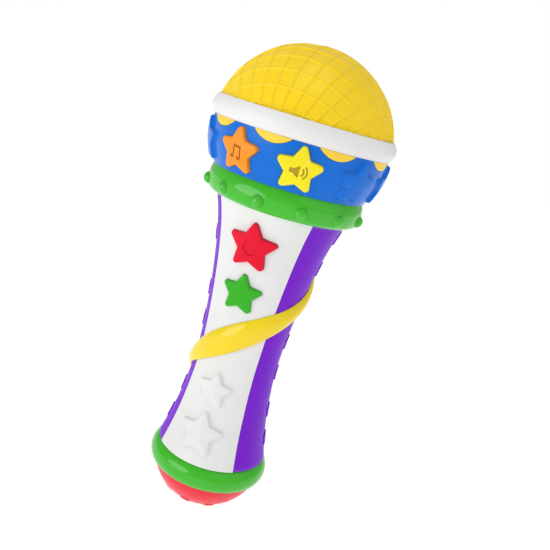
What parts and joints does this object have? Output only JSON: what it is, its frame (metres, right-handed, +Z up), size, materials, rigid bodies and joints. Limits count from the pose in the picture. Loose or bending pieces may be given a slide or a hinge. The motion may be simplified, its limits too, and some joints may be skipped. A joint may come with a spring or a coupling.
{
  "type": "toy microphone",
  "caption": "Chunky hand-held toy microphone: domed lattice head on a banded collar, waisted handle with star push buttons, spiral ribbon, battery door and flat-footed end cap.",
  "frame": {"origin": "centre of the flat foot under the red end cap, which is also the bottom centre of the bounding box", "axes": "+Z runs up the handle to the dome, the button side faces -Y, +X is to the right seen from the front"},
  "size_m": [0.0766, 0.0766, 0.203],
  "materials": {
    "dome_yellow": "moulded satin",
    "white_plastic": "moulded semi-gloss",
    "blue_plastic": "moulded semi-gloss",
    "spot_yellow": "moulded semi-gloss",
    "green_plastic": "moulded semi-gloss",
    "purple_plastic": "moulded satin",
    "ribbon_yellow": "soft semi-gloss",
    "cap_red": "slightly translucent",
    "button_orange": "moulded semi-gloss",
    "button_yellow": "moulded semi-gloss",
    "button_red": "moulded semi-gloss",
    "switch_black": "matt",
    "inner_grey": "matt",
    "screw_steel": "zinc plated",
    "contact_metal": "nickel plated",
    "battery_case": "printed sleeve",
    "circuit_board": "solder mask",
    "speaker_paper": "pressed paper"
  },
  "bodies": {
    "body": {"dome": "dome_yellow", "rim_ring": "white_plastic", "head_band": "blue_plastic", "spot_ring": "spot_yellow", "collar_ring": "green_plastic", "front_shell": "white_plastic", "rear_shell": "white_plastic", "grip_left": "purple_plastic", "grip_right": "purple_plastic", "spiral_ribbon": "ribbon_yellow", "base_ring": "green_plastic", "base_cap": "cap_red", "music_switch": "switch_black", "volume_switch": "switch_black", "red_star_switch": "switch_black", "green_star_switch": "switch_black", "case_screw_1": "screw_steel", "case_screw_2": "screw_steel", "case_screw_3": "screw_steel", "case_screw_4": "screw_steel", "battery_box": "inner_grey", "battery_1": "battery_case", "battery_2": "battery_case", "contact_bridge": "contact_metal", "contact_minus": "contact_metal", "contact_plus": "contact_metal", "spring_lower": "contact_metal", "spring_upper": "contact_metal", "main_board": "circuit_board", "sound_chip": "switch_black", "head_board": "circuit_board", "speaker_tray": "inner_grey", "speaker_frame": "screw_steel", "speaker_magnet": "screw_steel", "speaker_cone": "speaker_paper"},
    "music_key": {"music_button": "button_orange"},
    "volume_key": {"volume_button": "button_yellow"},
    "red_key": {"red_star_button": "button_red"},
    "green_key": {"green_star_button": "green_plastic"},
    "door": {"battery_door": "white_plastic", "door_screw": "screw_steel"}
  },
  "joints": [
    {"name": "music_press", "type": "slide", "parent": "body", "child": "music_key", "axis": [0.3307, 0.9087, 0.2546], "range_m": [0, 0.0015], "stiffness_N_per_m": 150, "springref_m": -0.002},
    {"name": "volume_press", "type": "slide", "parent": "body", "child": "volume_key", "axis": [-0.3307, 0.9087, 0.2546], "range_m": [0, 0.0015], "stiffness_N_per_m": 150, "springref_m": -0.002},
    {"name": "red_star_press", "type": "slide", "parent": "body", "child": "red_key", "axis": [0, 0.9766, 0.2149], "range_m": [0, 0.0015], "stiffness_N_per_m": 150, "springref_m": -0.002},
    {"name": "green_star_press", "type": "slide", "parent": "body", "child": "green_key", "axis": [0, 0.9934, 0.1146], "range_m": [0, 0.0015], "stiffness_N_per_m": 150, "springref_m": -0.002},
    {"name": "door_lift", "type": "slide", "parent": "body", "child": "door", "axis": [0, 1, 0], "range_m": [0, 0.03]}
  ]
}
